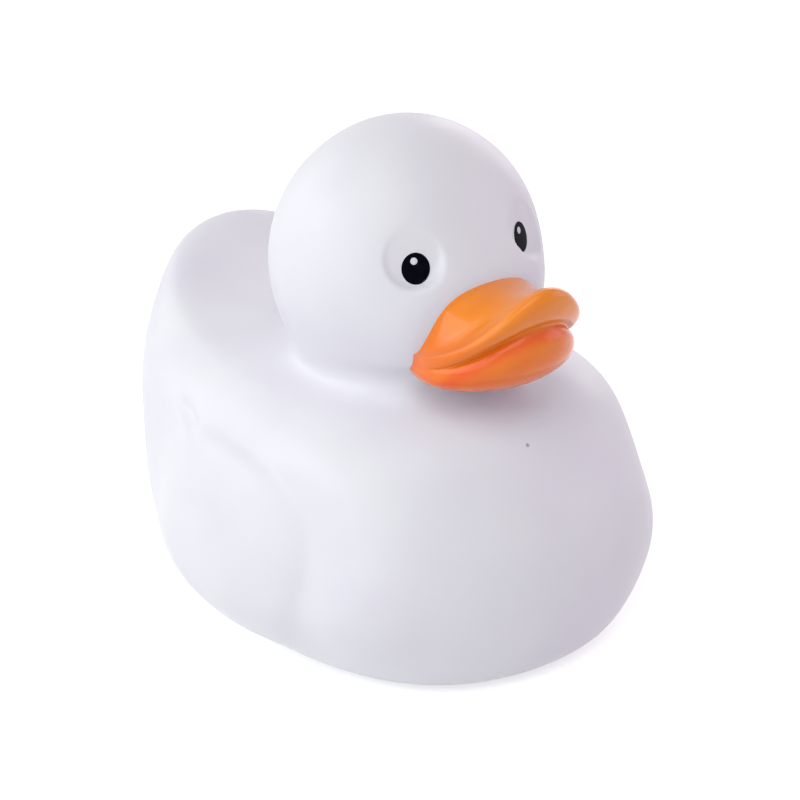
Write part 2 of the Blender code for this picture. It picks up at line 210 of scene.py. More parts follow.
@dataclass(frozen=True)
class Loft:
    """A smooth surface through control rings, closed by a point at each end."""

    rings: list[np.ndarray]
    bottom: np.ndarray
    top: np.ndarray

    @staticmethod
    def weights(parameters: np.ndarray, count: int, closed: bool) -> np.ndarray:
        """Work out a uniform cubic spline's weights.

        Args:
            parameters: places along the spline, one unit for each control point.
            count: number of control points.
            closed: whether the spline runs round.

        Returns:
            A matrix with a row for each place and a column for each control point.
        """
        first = np.floor(parameters).astype(int)
        if not closed:
            first = np.minimum(first, count - 3)
        u = parameters - first
        basis = (1 - u) ** 3, 3 * u**3 - 6 * u**2 + 4, -3 * u**3 + 3 * u**2 + 3 * u + 1, u**3
        weights = np.zeros((len(parameters), count))
        rows = np.arange(len(parameters))
        for offset, values in enumerate(basis):
            columns = first - 1 + offset
            np.add.at(weights, (rows, columns % count if closed else columns), values / 6.0)
        return weights

    def skin(self, round_count: int, steps: int | tuple[int, ...]) -> Skin:
        """Sample the surface.

        Args:
            round_count: points in each row.
            steps: rows in each span between control rings, one number or one for each span.

        Returns:
            The sampled skin.
        """
        count = len(self.rings[0])
        across = np.array([1.0, 1.0, 0.0])
        far_side = 1.0 - 2.0 * across
        cage = np.array(
            [
                self.rings[0] * far_side + 2.0 * self.bottom * across,
                np.repeat([self.bottom], count, axis=0),
                *self.rings,
                np.repeat([self.top], count, axis=0),
                self.rings[-1] * far_side + 2.0 * self.top * across,
            ]
        )
        spans = len(cage) - 3
        counts = np.broadcast_to(steps, spans)
        along = np.concatenate([span + 1.0 + np.arange(n) / n for span, n in enumerate(counts)])[1:]
        ends = self.weights(np.array([1.0, spans + 1.0]), len(cage), False)
        rows = self.weights(along, len(cage), False)
        ring = self.weights(np.arange(round_count) * count / round_count, count, True)
        low, high = np.einsum("rc,cpk->rpk", ends, cage).mean(axis=1)
        return Skin(low, np.einsum("rc,sp,cpk->rsk", rows, ring, cage), high)


# ---------------------------------------------------------------- head, body and bill


@dataclass(frozen=True)
class Head:
    """The round head that rests on the neck's ring."""

    half_width: float = 20.6
    half_depth: float = 17.9
    half_height: float = 20.3
    y: float = -5.5
    z: float = 55.1
    cheek_squareness: float = 2.2
    ring_angles: tuple[float, ...] = (128.0, 102.0, 76.0, 50.0, 24.0)

    def rings(self, segments: int) -> tuple[list[np.ndarray], np.ndarray]:
        """Lay out the head's control rings.

        Args:
            segments: control points in one ring.

        Returns:
            The rings from the neck up, and the crown's point.
        """
        theta = np.arange(segments) * 2.0 * math.pi / segments
        fullness = np.where(np.cos(theta) > 0, 2.0 / self.cheek_squareness, 1.0)
        across, along = powered(np.sin(theta), fullness), powered(np.cos(theta), fullness)
        step = math.radians(self.ring_angles[0] - self.ring_angles[1])
        # A cubic spline runs inside its control points, so the rings are laid out this much wider.
        widen = 3.0 / (2.0 + math.cos(2.0 * math.pi / segments))
        lengthen = 3.0 / (2.0 + math.cos(step))
        rings = []
        for angle in np.radians(self.ring_angles):
            reach = math.sin(angle) * widen * lengthen
            height = self.z + self.half_height * lengthen * math.cos(angle)
            rings.append(
                np.stack(
                    [
                        self.half_width * reach * across,
                        self.y - self.half_depth * reach * along,
                        np.full(segments, height),
                    ],
                    axis=1,
                )
            )
        return rings, np.array([0.0, self.y, self.z + self.half_height * lengthen])

    def tangent(self, x: float, z: float) -> tuple[np.ndarray, np.ndarray]:
        """Find a place on the front of the head.

        Args:
            x: place across.
            z: height.

        Returns:
            The point and its outward normal.
        """
        height = z - self.z
        reach = math.sqrt(1.0 - (x / self.half_width) ** 2 - (height / self.half_height) ** 2)
        out = np.array(
            [x / self.half_width**2, -reach / self.half_depth, height / self.half_height**2]
        )
        return np.array([x, self.y - self.half_depth * reach, z]), out / np.linalg.norm(out)


@dataclass(frozen=True)
class EyeFlat:
    """The shallow round flat moulded in the head for each printed eye."""

    head: Head
    x: float = 9.9
    z: float = 60.8
    radius: float = 3.85
    depth: float = 0.02
    edge: float = 0.14
    rim: Span = (0.95, 1.18)
    reach: float = 4.0

    def plane(self, side: Side) -> tuple[np.ndarray, np.ndarray]:
        """Return the flat's middle and its outward normal on one side."""
        point, out = self.head.tangent(side.value * self.x, self.z)
        return point - out * self.depth, out

    def press(self, points: np.ndarray) -> np.ndarray:
        """Press the skin round each eye on to its flat.

        Args:
            points: places on the skin.

        Returns:
            The places after the press.
        """
        for side in Side:
            middle, out = self.plane(side)
            offset = points - middle
            height = offset @ out
            off = np.linalg.norm(offset - height[..., None] * out, axis=-1) / self.radius
            near = (height > -self.reach) * (1.0 - smoothstep(*self.rim, off))
            pressed = (height - np.hypot(height, self.edge)) / 2.0
            points = points + (near * (pressed - height))[..., None] * out
        return points


@dataclass(frozen=True)
class Wing:
    """A low wing moulded on each flank, and the dimple where its tip meets the tail."""

    y: float = -3.0
    z: float = 17.5
    length: float = 38.0
    depth: float = 30.6
    tilt: float = 4.0
    squareness: float = 2.4
    relief: float = 2.4
    lobe: Span = (0.42, 1.04)
    low_softening: Span = (0.20, 0.30)
    low_side: Span = (0.1, -0.9)
    groove: float = 1.1
    groove_line: float = 1.06
    groove_widths: Span = (0.13, 0.26)
    groove_fade: Span = (-0.3, 0.6)
    groove_lean: float = 0.7
    dimple: Span = (8.4, 32.4)
    dimple_slope: float = 30.0
    dimple_depth: float = 1.5
    dimple_size: Span = (3.0, 1.25)

    def rise(self, y: np.ndarray, z: np.ndarray) -> np.ndarray:
        """Work out how far the flank stands out.

        Args:
            y: places along the duck.
            z: heights.

        Returns:
            The rise of the wing less its groove and the dimple.
        """
        tilt = math.radians(self.tilt)
        along = (y - self.y) * math.cos(tilt) + (z - self.z) * math.sin(tilt)
        across = (z - self.z) * math.cos(tilt) - (y - self.y) * math.sin(tilt)
        along, across = along / (self.length / 2.0), across / (self.depth / 2.0)
        edge = (np.abs(along) ** self.squareness + np.abs(across) ** self.squareness) ** (
            1.0 / self.squareness
        )
        low_side = smoothstep(*self.low_side, across)
        crown = self.lobe[0] - self.low_softening[0] * low_side
        foot = self.lobe[1] + self.low_softening[1] * low_side
        lobe = 1.0 - smoothstep(crown, foot, edge)
        upper_front = smoothstep(*self.groove_fade, across - self.groove_lean * along)
        off = (edge - self.groove_line) / np.where(edge < self.groove_line, *self.groove_widths)
        groove = self.groove * np.exp(-(off**2)) * upper_front
        return self.relief * lobe - groove - self.dip(y, z)

    def dip(self, y: np.ndarray, z: np.ndarray) -> np.ndarray:
        """Work out the depth of the dimple, a short slot at the wing's tip.

        Args:
            y: places along the duck.
            z: heights.

        Returns:
            The depth.
        """
        slope = math.radians(self.dimple_slope)
        dy, dz = y - self.dimple[0], z - self.dimple[1]
        along = (dy * math.cos(slope) + dz * math.sin(slope)) / self.dimple_size[0]
        across = (dz * math.cos(slope) - dy * math.sin(slope)) / self.dimple_size[1]
        return self.dimple_depth * np.exp(-(along**2) - across**2)


@dataclass(frozen=True)
class BillFillet:
    """The white fillet that runs out of the face on to the bill's root."""

    head: Head
    rise: float = 2.4
    reach: float = 0.6
    z: float = 48.5
    half_width: float = 10.2
    up: float = 8.0
    down: float = 6.5
    squareness: float = 2.6
    full: float = 0.95
    front: float = 0.5
    chin: Span = (42.0, 46.5)

    def swell(self, points: np.ndarray) -> np.ndarray:
        """Return how far the face swells out at each place."""
        x, y, z = points[..., 0], points[..., 1], points[..., 2]
        half_height = np.where(z > self.z, self.up, self.down)
        power = self.squareness
        edge = np.abs(x / self.half_width) ** power + np.abs((z - self.z) / half_height) ** power
        edge = edge ** (1.0 / power)
        swell = self.rise * np.exp(-((np.maximum(edge - self.full, 0.0) / self.reach) ** 2))
        face = self.head.y - self.front * self.head.half_depth
        return swell * smoothstep(self.head.y, face, y) * smoothstep(*self.chin, z)


@dataclass(frozen=True)
class Station:
    """One ring of the body: where it passes in front, at the sides and behind."""

    front: Span
    side: tuple[float, float, float]
    rear: Span
    taper: float = 2.0

    def ring(self, segments: int, squareness: float) -> np.ndarray:
        """Lay out the ring's control points.

        Args:
            segments: number of control points.
            squareness: 2 for an ellipse, more for a boxier ring.

        Returns:
            The points, starting in front.
        """
        theta = np.arange(segments) * 2.0 * math.pi / segments
        across = powered(np.sin(theta), 2.0 / squareness)
        along = powered(np.cos(theta), 2.0 / squareness)
        side_x, side_y, side_z = self.side
        end_y = np.where(along > 0, self.front[0], self.rear[0])
        end_z = np.where(along > 0, self.front[1], self.rear[1])
        y = side_y + (end_y - side_y) * np.abs(along)
        z = side_z + (end_z - side_z) * np.abs(np.cos(theta)) ** self.taper
        return np.stack([side_x * across, y, z], axis=1)


TAIL_TAPER = 2.7
BODY_STATIONS = (
    Station((-28.0, 0.0), (20.0, -4.0, 0.0), (20.0, 0.0)),  # flat underside
    Station((-36.0, 0.0), (25.5, -4.0, 0.0), (26.5, 0.0)),  # edge of the flat
    Station((-43.2, 1.2), (29.0, -1.5, 1.2), (34.0, 1.2)),  # rounded corner
    Station((-43.6, 12.2), (37.1, -11.3, 11.4), (37.4, 13.0)),  # belly
    Station((-44.4, 23.7), (32.5, -4.2, 22.6), (43.4, 26.8), TAIL_TAPER),  # flank
    Station((-36.9, 33.6), (33.0, -1.5, 33.3), (41.3, 38.2), TAIL_TAPER),  # shoulder
    Station((-33.8, 36.6), (25.6, -3.1, 37.6), (43.9, 48.6), TAIL_TAPER),  # rim of the tail
    Station((-31.0, 38.0), (23.4, -2.6, 38.6), (40.0, 49.6), TAIL_TAPER),  # top of the tail
    Station((-28.4, 38.7), (21.0, -2.2, 39.2), (32.6, 43.6), TAIL_TAPER),  # scoop of the tail
    Station((-25.2, 39.2), (18.8, -3.8, 39.4), (19.9, 38.8)),  # back
    Station((-22.2, 40.2), (16.9, -7.0, 40.4), (9.6, 40.6)),  # neck
)


@dataclass(frozen=True)
class Body:
    """The duck's outer skin from its flat underside to its crown."""

    head: Head
    wing: Wing
    fillet: BillFillet
    eye_flat: EyeFlat
    segments: int = 16
    squareness: float = 2.37
    stations: tuple[Station, ...] = BODY_STATIONS
    flank_facing: Span = (0.25, 0.75)
    flank_foot: Span = (1.0, 6.0)
    flank_top: Span = (36.0, 40.0)

    def skin(self, round_count: int, steps: int | tuple[int, ...]) -> Skin:
        """Sample the skin, with the wings, the fillet and the eye flats moulded in.

        Args:
            round_count: points in each row.
            steps: rows in each span between rings.

        Returns:
            The skin.
        """
        head_rings, crown = self.head.rings(self.segments)
        rings = [station.ring(self.segments, self.squareness) for station in self.stations]
        middle = np.array([0.0, self.stations[0].side[1], 0.0])
        plain = Loft(rings + head_rings, middle, crown).skin(round_count, steps)
        normals, rows = plain.normals(), plain.rows
        height = rows[..., 2]
        flank = smoothstep(*self.flank_facing, np.abs(normals[..., 0]))
        flank = flank * smoothstep(*self.flank_foot, height)
        flank = flank * (1.0 - smoothstep(*self.flank_top, height))
        relief = flank * self.wing.rise(rows[..., 1], height) + self.fillet.swell(rows)
        rows = self.eye_flat.press(rows + normals * relief[..., None])
        rows[..., 2] = np.maximum(rows[..., 2], 0.0)
        return Skin(plain.low, rows, plain.high)


@dataclass(frozen=True)
class Bill:
    """The bill, lofted round an upright axis inside the head.

    It has a dished top, an upturned lip and a mouth line.  A turn is an angle from the front.
    """

    axis_y: float = -15.8
    length: float = 22.0
    half_width: float = 14.0
    squareness: float = 2.2
    corner_pinch: float = 0.35
    corner_thinning: float = 0.75
    pinch_turns: Span = (40.0, 85.0)
    corner_turns: Span = (38.0, 78.0)
    open_turns: Span = (20.0, 56.0)
    root_turns: Span = (52.0, 100.0)
    root_z: float = 56.8
    root_drop: float = 1.0
    lip_z: float = 60.3
    side_lip_z: float = 48.7
    corner_z: float = 46.4
    corner_height: float = 4.4
    under_z: float = 40.8
    under_spread: float = 55.0
    upturn_spread: float = 26.7
    band_front: float = 6.7
    band_side: float = 2.6
    band_spread: float = 20.0
    flare: float = 0.9
    mouth_groove: float = 1.5
    dish: float = 1.3

    def skin(self, segments: int, round_count: int, steps: int) -> Skin:
        """Sample the bill.

        Args:
            segments: control points in one ring.
            round_count: points in each row.
            steps: rows in each span between rings.

        Returns:
            The skin.
        """
        angle = np.degrees(np.arange(segments) * 2.0 * math.pi / segments)
        angle = np.where(angle > 180.0, angle - 360.0, angle)
        turn, direction = np.abs(angle), np.radians(angle)
        s, c = np.abs(np.sin(direction)), np.abs(np.cos(direction))
        power = self.squareness
        length = np.where(turn < 90.0, self.length, self.half_width)
        reach = ((s / self.half_width) ** power + (c / length) ** power) ** (-1.0 / power)
        reach *= 1.0 - self.corner_pinch * smoothstep(*self.pinch_turns, turn)
        open_part = 1.0 - smoothstep(*self.open_turns, turn)
        upturn = np.exp(-((turn / self.upturn_spread) ** 2))
        corner = smoothstep(*self.corner_turns, turn)
        crest = self.side_lip_z + (self.lip_z - self.side_lip_z) * upturn
        crest += (self.corner_z - self.side_lip_z) * corner
        root_fall = self.corner_z - self.root_drop - self.root_z
        root = self.root_z + root_fall * smoothstep(*self.root_turns, turn)
        swell = np.exp(-((turn / self.band_spread) ** 2))
        band = self.band_side + (self.band_front - self.band_side) * swell
        band *= 1.0 - self.corner_thinning * corner
        mouth = crest - band
        under = self.corner_z - self.corner_height - self.under_z
        under = self.under_z + under * smoothstep(0.0, self.under_spread, turn)
        depth = mouth - under
        groove, flare = self.mouth_groove * open_part, self.flare * open_part
        outline = (  # each ring's radius and height, from the chin up and over
            (0.36 * reach, under + 0.01 * depth),  # underside
            (0.70 * reach, under + 0.10 * depth),
            (0.92 * reach, under + 0.32 * depth),
            (1.01 * reach, under + 0.60 * depth),  # fullest part of the lower bill
            (1.01 * reach, under + 0.85 * depth),
            (reach - 0.35 * groove, under + 0.95 * depth),
            (reach - groove, mouth),  # bottom of the mouth line
            (reach - 0.2 * groove, mouth + 0.1 * band),
            (reach + 0.4 * flare, mouth + 0.3 * band),  # upper bill, flaring to its lip
            (reach + 1.4 * flare, crest - 0.26 * band),
            (reach + 0.2, crest),  # crest of the lip
            (0.90 * reach, crest - 0.2 * band),
            (0.70 * reach, root + 0.28 * (crest - root) - self.dish * upturn),  # dished top
            (0.42 * reach, root),
        )
        rings = [
            np.stack(
                [radius * np.sin(direction), self.axis_y - radius * np.cos(direction), height],
                axis=1,
            )
            for radius, height in outline
        ]
        bottom = np.array([0.0, self.axis_y, self.under_z])
        top = np.array([0.0, self.axis_y, self.root_z])
        return Loft(rings, bottom, top).skin(round_count, steps)


# ---------------------------------------------------------------- finishes


class Recipe:
    """The nodes of one material, added and wired by short calls."""

    def __init__(self, name: str) -> None:
        """Start a material with its Principled shader.

        Args:
            name: the material's name.
        """
        self.material = bpy.data.materials.new(name)
        self.material.use_nodes = True
        self.tree = self.material.node_tree
        self.shader = self.tree.nodes["Principled BSDF"]
        self.place = self.add("ShaderNodeTexCoord").outputs["Object"]

    def add(self, kind: str, **settings: object) -> bpy.types.Node:
        """Add a node.

        Args:
            kind: the node's type.
            settings: its properties.

        Returns:
            The node.
        """
        node = self.tree.nodes.new(kind)
        for key, value in settings.items():
            setattr(node, key, value)
        return node

    def feed(self, node: bpy.types.Node, **values: object) -> bpy.types.Node:
        """Fill a node's inputs, each with a number, a colour or another node's output.

        Args:
            node: the node to fill.
            values: inputs by name, with _ for a space.

        Returns:
            The same node.
        """
        for key, value in values.items():
            socket = node.inputs[int(key[1:]) if key[0] == "_" else key.replace("_", " ")]
            if isinstance(value, bpy.types.NodeSocket):
                self.tree.links.new(value, socket)
            else:
                socket.default_value = value
        return node

    def noise(self, size: float, detail: float = 2.0) -> bpy.types.NodeSocket:
        """Add noise on the object's own coordinates.

        Args:
            size: width of its blotches, in millimetres.
            detail: how many finer layers it has.

        Returns:
            The noise's value, from 0 to 1.
        """
        node = self.add("ShaderNodeTexNoise")
        self.feed(node, Vector=self.place, Scale=1.0 / (size * MM), Detail=detail)
        return node.outputs["Fac"]

    def spread(
        self, value: bpy.types.NodeSocket, source: Span, target: Span
    ) -> bpy.types.NodeSocket:
        """Map a value's range to another, smoothly and clamped.

        Args:
            value: the value.
            source: its range.
            target: the range it is mapped to.

        Returns:
            The mapped value.
        """
        node = self.add("ShaderNodeMapRange", interpolation_type="SMOOTHSTEP")
        self.feed(node, Value=value, From_Min=source[0], From_Max=source[1])
        return self.feed(node, To_Min=target[0], To_Max=target[1]).outputs["Result"]

    def blend(
        self, share: bpy.types.NodeSocket, first: object, second: object
    ) -> bpy.types.NodeSocket:
        """Mix two colours.

        Args:
            share: how much of the second.
            first: colour, or the output that gives it, where the share is 0.
            second: colour, or the output that gives it, where the share is 1.

        Returns:
            The mixed colour.
        """
        node = self.add("ShaderNodeMix", data_type="RGBA")
        return self.feed(node, _0=share, _6=first, _7=second).outputs[2]

    def bumps(self, layers: tuple[Span, ...]) -> None:
        """Stack layers of noise as bumps on the shader.

        Args:
            layers: the width and the depth of each layer's blotches, in millimetres.
        """
        below = None
        for size, depth in layers:
            bump = self.add("ShaderNodeBump")
            self.feed(bump, Height=self.noise(size), Distance=depth * MM)
            if below is not None:
                self.feed(bump, Normal=below)
            below = bump.outputs["Normal"]
        self.feed(self.shader, Normal=below)


def opaque(colour: Colour) -> tuple[float, float, float, float]:
    """Return a colour with full alpha."""
    return (*colour, 1.0)


@dataclass(frozen=True)
class VinylFinish:
    """Satin white soft vinyl with a faint orange peel, and one grey fleck on the chest."""

    pale: Colour = (0.86, 0.855, 0.895)
    deep: Colour = (0.82, 0.805, 0.865)
    tone_size: float = 24.0
    tone_range: Span = (0.35, 0.70)
    fleck: Colour = (0.33, 0.31, 0.36)
    fleck_at: tuple[float, float, float] = (-0.6, -34.1, 34.7)
    fleck_size: Span = (0.22, 0.42)
    fleck_strength: float = 0.85
    gloss: Span = (0.36, 0.46)
    gloss_size: float = 7.0
    index: float = 1.46
    glow: float = 0.12
    glow_reach: Colour = (1.0, 0.8, 0.9)
    glow_depth: float = 1.6
    peel: tuple[Span, ...] = ((9.0, 0.10), (1.3, 0.018), (0.25, 0.003))

    def material(self) -> bpy.types.Material:
        """Return the finished material."""
        recipe = Recipe("white_vinyl")
        cloud = recipe.spread(recipe.noise(self.tone_size), self.tone_range, NONE_TO_ALL)
        tone = recipe.blend(cloud, opaque(self.pale), opaque(self.deep))
        away = recipe.add("ShaderNodeVectorMath", operation="DISTANCE")
        recipe.feed(away, _0=recipe.place, _1=Vector(self.fleck_at) * MM)
        near = tuple(size * MM for size in self.fleck_size)
        share = recipe.spread(away.outputs["Value"], near, (self.fleck_strength, 0.0))
        recipe.feed(
            recipe.shader,
            Base_Color=recipe.blend(share, tone, opaque(self.fleck)),
            Roughness=recipe.spread(recipe.noise(self.gloss_size, 3.0), NOISE_MIDDLE, self.gloss),
            IOR=self.index,
            Subsurface_Weight=self.glow,
            Subsurface_Radius=self.glow_reach,
            Subsurface_Scale=self.glow_depth * MM,
        )
        recipe.bumps(self.peel)
        return recipe.material


@dataclass(frozen=True)
class BillPaintFinish:
    """Glossy orange sprayed paint.

    It is painted lighter and yellower towards the top and darker and redder lower down, which is
    painted light and shade, and darker red along the mouth line, which is painted shade in that
    crease.  It hands on little of its colour to the light that bounces off it.
    """

    # Lighter top paint and darker lower paint: painted light and shade on the bill.
    lit_top_paint: Colour = (0.98, 0.285, 0.006)
    shaded_low_paint: Colour = (0.96, 0.165, 0.005)
    # Darker red for the mouth line: painted shade in its crease.
    mouth_shade_paint: Colour = (0.95, 0.118, 0.002)
    heights: Span = (45.0, 58.0)
    height_share: float = 0.75
    cloud_size: float = 5.0
    cloud_share: float = 0.25
    mouth_slope: float = 0.95
    mouth_level: float = 18.8
    mouth_band: Span = (-3.4, 0.9)
    bounce: Colour = (0.66, 0.66, 0.72)
    bounce_share: float = 0.85
    gloss: Span = (0.18, 0.26)
    gloss_size: float = 3.0
    index: float = 1.36
    coat: float = 0.30
    coat_roughness: float = 0.06
    peel: tuple[Span, ...] = ((4.5, 0.08), (0.8, 0.006))

    def colour(self, recipe: Recipe) -> bpy.types.NodeSocket:
        """Mix the paint's colours, with painted shade low on the bill and in the mouth line.

        Args:
            recipe: the material's nodes.

        Returns:
            The colour.
        """
        parts = recipe.feed(recipe.add("ShaderNodeSeparateXYZ"), Vector=recipe.place)
        # Painted shade: lighter and yellower with height, darker and redder lower on the bill.
        heights = tuple(height * MM for height in self.heights)
        level = recipe.spread(parts.outputs["Z"], heights, (0.0, self.height_share))
        cloud = recipe.noise(self.cloud_size, 3.0)
        cloud = recipe.spread(cloud, NOISE_MIDDLE, (0.0, self.cloud_share))
        share = recipe.feed(recipe.add("ShaderNodeMath", operation="ADD"), _0=level, _1=cloud)
        tone = recipe.blend(share.outputs[0], opaque(self.shaded_low_paint), opaque(self.lit_top_paint))
        # Painted shade: a darker red band along the mouth line, where the crease lies in shade.
        across = recipe.add("ShaderNodeVectorMath", operation="DOT_PRODUCT")
        recipe.feed(across, _0=recipe.place, _1=(0.0, self.mouth_slope, 1.0))
        below, above = (self.mouth_level + edge for edge in self.mouth_band)
        middle = (below + above) / 2.0
        rise = recipe.spread(across.outputs["Value"], (below * MM, middle * MM), NONE_TO_ALL)
        fall = recipe.spread(across.outputs["Value"], (middle * MM, above * MM), (1.0, 0.0))
        mouth_shade = recipe.feed(recipe.add("ShaderNodeMath", operation="MULTIPLY"), _0=rise, _1=fall)
        return recipe.blend(mouth_shade.outputs[0], tone, opaque(self.mouth_shade_paint))

    def material(self) -> bpy.types.Material:
        """Return the finished material."""
        recipe = Recipe("orange_paint")
        path = recipe.add("ShaderNodeLightPath").outputs["Is Diffuse Ray"]
        spill = recipe.spread(path, NONE_TO_ALL, (0.0, self.bounce_share))
        recipe.feed(
            recipe.shader,
            Base_Color=recipe.blend(spill, self.colour(recipe), opaque(self.bounce)),
            Roughness=recipe.spread(recipe.noise(self.gloss_size, 3.0), NOISE_MIDDLE, self.gloss),
            IOR=self.index,
            Coat_Weight=self.coat,
            Coat_Roughness=self.coat_roughness,
        )
        recipe.bumps(self.peel)
        return recipe.material


@dataclass(frozen=True)
class InkFinish:
    """Pad-printed ink, glossy and very slightly uneven."""

    name: str
    colour: Colour
    worn: Colour
    wear_size: float = 0.7
    wear_range: Span = (0.35, 0.75)
    gloss: Span = (0.26, 0.36)
    gloss_size: float = 0.4
    index: float = 1.09
    peel: tuple[Span, ...] = ((0.35, 0.004),)

    def material(self) -> bpy.types.Material:
        """Return the finished material."""
        recipe = Recipe(self.name)
        share = recipe.spread(recipe.noise(self.wear_size, 3.0), self.wear_range, NONE_TO_ALL)
        recipe.feed(
            recipe.shader,
            Base_Color=recipe.blend(share, opaque(self.colour), opaque(self.worn)),
            Roughness=recipe.spread(recipe.noise(self.gloss_size), NOISE_MIDDLE, self.gloss),
            IOR=self.index,
        )
        recipe.bumps(self.peel)
        return recipe.material


# ---------------------------------------------------------------- the duck's pieces


@dataclass(frozen=True)
class Moulding:
    """The duck's hollow shell: skin, bill, inside and vent hole in one piece."""

    body: Body
    bill: Bill
    wall: float = 2.0
    vent_diameter: float = 3.2
    vent_y: float = 2.0
    vent_segments: int = 48
    round_count: int = 320
    steps: tuple[int, ...] = (4, 4, 12, 16, 20, 20, 16, 10, 8, 8, 8, 14, 18, 20, 18, 10, 8)
    bill_segments: int = 32
    bill_round: int = 192
    bill_steps: int = 7
    inside_round: int = 64
    inside_steps: int = 3
    hollow_front_wall: float = 3.4
    hollow_top_wall: float = 3.2
    hollow_under_wall: float = 3.0
    hollow_half_width: float = 8.6
    hollow_segments: tuple[int, int] = (32, 16)

    def inside(self) -> bpy.types.Object:
        """Make the inside of body and head: the skin moved in by the wall."""
        skin = self.body.skin(self.inside_round, self.inside_steps)
        rows = skin.rows - skin.normals() * self.wall
        rows[..., 2] = np.maximum(rows[..., 2], self.wall)
        lift = np.array([0.0, 0.0, self.wall])
        return Skin(skin.low + lift, rows, skin.high - lift).blow("inside")

    def bill_inside(self) -> bpy.types.Object:
        """Make the inside of the bill, an oval lobe that opens into the head's."""
        head, bill = self.body.head, self.bill
        front = bill.axis_y - bill.length + self.hollow_front_wall
        rear = head.y - 0.5 * head.half_depth
        low, high = bill.under_z + self.hollow_under_wall, bill.root_z - self.hollow_top_wall
        half = Vector((self.hollow_half_width, (rear - front) / 2.0, (high - low) / 2.0)) * MM
        middle = Vector((0.0, (front + rear) / 2.0, (low + high) / 2.0)) * MM
        round_count, rise_count = self.hollow_segments
        bm = bmesh.new()
        bmesh.ops.create_uvsphere(bm, u_segments=round_count, v_segments=rise_count, radius=1.0)
        bmesh.ops.scale(bm, verts=bm.verts, vec=half)
        bmesh.ops.translate(bm, verts=bm.verts, vec=middle)
        return write_object("bill_inside", bm)

    def vent(self) -> bpy.types.Object:
        """Make the pin that leaves the vent hole in the underside."""
        radius = self.vent_diameter / 2.0 * MM
        bm = bmesh.new()
        bmesh.ops.create_cone(
            bm,
            cap_ends=True,
            segments=self.vent_segments,
            radius1=radius,
            radius2=radius,
            depth=4.0 * self.wall * MM,
            matrix=Matrix.Translation(Vector((0.0, self.vent_y, 0.0)) * MM),
        )
        return write_object("vent_pin", bm)

    def crease(self, shell: bpy.types.Object) -> None:
        """Keep the line crisp where the painted bill leaves the white face.

        Args:
            shell: the joined shell, with its coats as face materials.
        """
        bm = bmesh.new()
        bm.from_mesh(shell.data)
        for edge in bm.edges:
            edge.smooth = len({face.material_index for face in edge.link_faces}) < 2
        bm.to_mesh(shell.data)
        bm.free()

    def build(self, vinyl: bpy.types.Material, paint: bpy.types.Material) -> bpy.types.Object:
        """Mould, hollow and paint the shell, centred along Y and sized as the CAD part is.

        Args:
            vinyl: the white vinyl.
            paint: the bill's paint.

        Returns:
            The finished piece.
        """
        shell = self.body.skin(self.round_count, self.steps).blow("moulding")
        bill = self.bill.skin(self.bill_segments, self.bill_round, self.bill_steps).blow("bill")
        inside, lobe, vent = self.inside(), self.bill_inside(), self.vent()
        for part in (shell, bill, inside, lobe, vent):
            part.data.materials.append(vinyl)
            part.data.materials.append(paint)
        for face in bill.data.polygons:
            face.material_index = Coat.PAINT.value
        combine(inside, lobe, "UNION")
        combine(inside, vent, "UNION")
        combine(shell, bill, "UNION")
        combine(shell, inside, "DIFFERENCE")
        self.crease(shell)
        reach = [vertex.co.y for vertex in shell.data.vertices]
        shell.data.transform(Matrix.Translation((0.0, -(min(reach) + max(reach)) / 2.0, 0.0)))
        low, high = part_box(CAD_NODE)
        room, size = Vector(high) - Vector(low), shell.dimensions
        fit = [min(1.0, have / need) for have, need in zip(room, size)]
        shell.data.transform(Matrix.Diagonal((*fit, 1.0)))
        return shell


@dataclass(frozen=True)
class Print:
    """One printed oval on the face, laid on the skin with a slightly domed film."""

    name: str
    half_width: float
    half_height: float
    film: float
    up: float = 0.0
    aside: float = 0.0
    round_count: int = 64
    rise_count: int = 24
    clearance: float = 5.0

    def build(
        self, ground: BVHTree, head: Head, at: tuple[float, float], side: Side, out: Vector
    ) -> bpy.types.Object:
        """Lay the film on the skin.

        Args:
            ground: the moulding's surface.
            head: the head it is printed on.
            at: the eye's place across and its height.
            side: the duck's left or right.
            out: the way the flat faces.

        Returns:
            The finished piece.
        """
        start = Vector((side.value * at[0], head.y - 4.0 * head.half_depth, at[1])) * MM
        centre = ground.ray_cast(start, Vector((0.0, 1.0, 0.0)))[0]
        across = Vector((0.0, 0.0, 1.0)).cross(out).normalized()
        upward = out.cross(across)
        centre = centre + (upward * self.up + across * self.aside) * MM
        bm = bmesh.new()
        bmesh.ops.create_uvsphere(
            bm, u_segments=self.round_count, v_segments=self.rise_count, radius=1.0
        )
        for vertex in bm.verts:
            u, v, w = vertex.co
            over = centre + (across * (u * self.half_width) + upward * (v * self.half_height)) * MM
            hit = ground.ray_cast(over + out * self.clearance * MM, -out)[0]
            vertex.co = hit + out * (math.copysign(math.sqrt(abs(w)), w) * self.film * MM)
        bmesh.ops.recalc_face_normals(bm, faces=bm.faces)
        return write_object(f"{self.name}_{side.name.lower()}", bm)


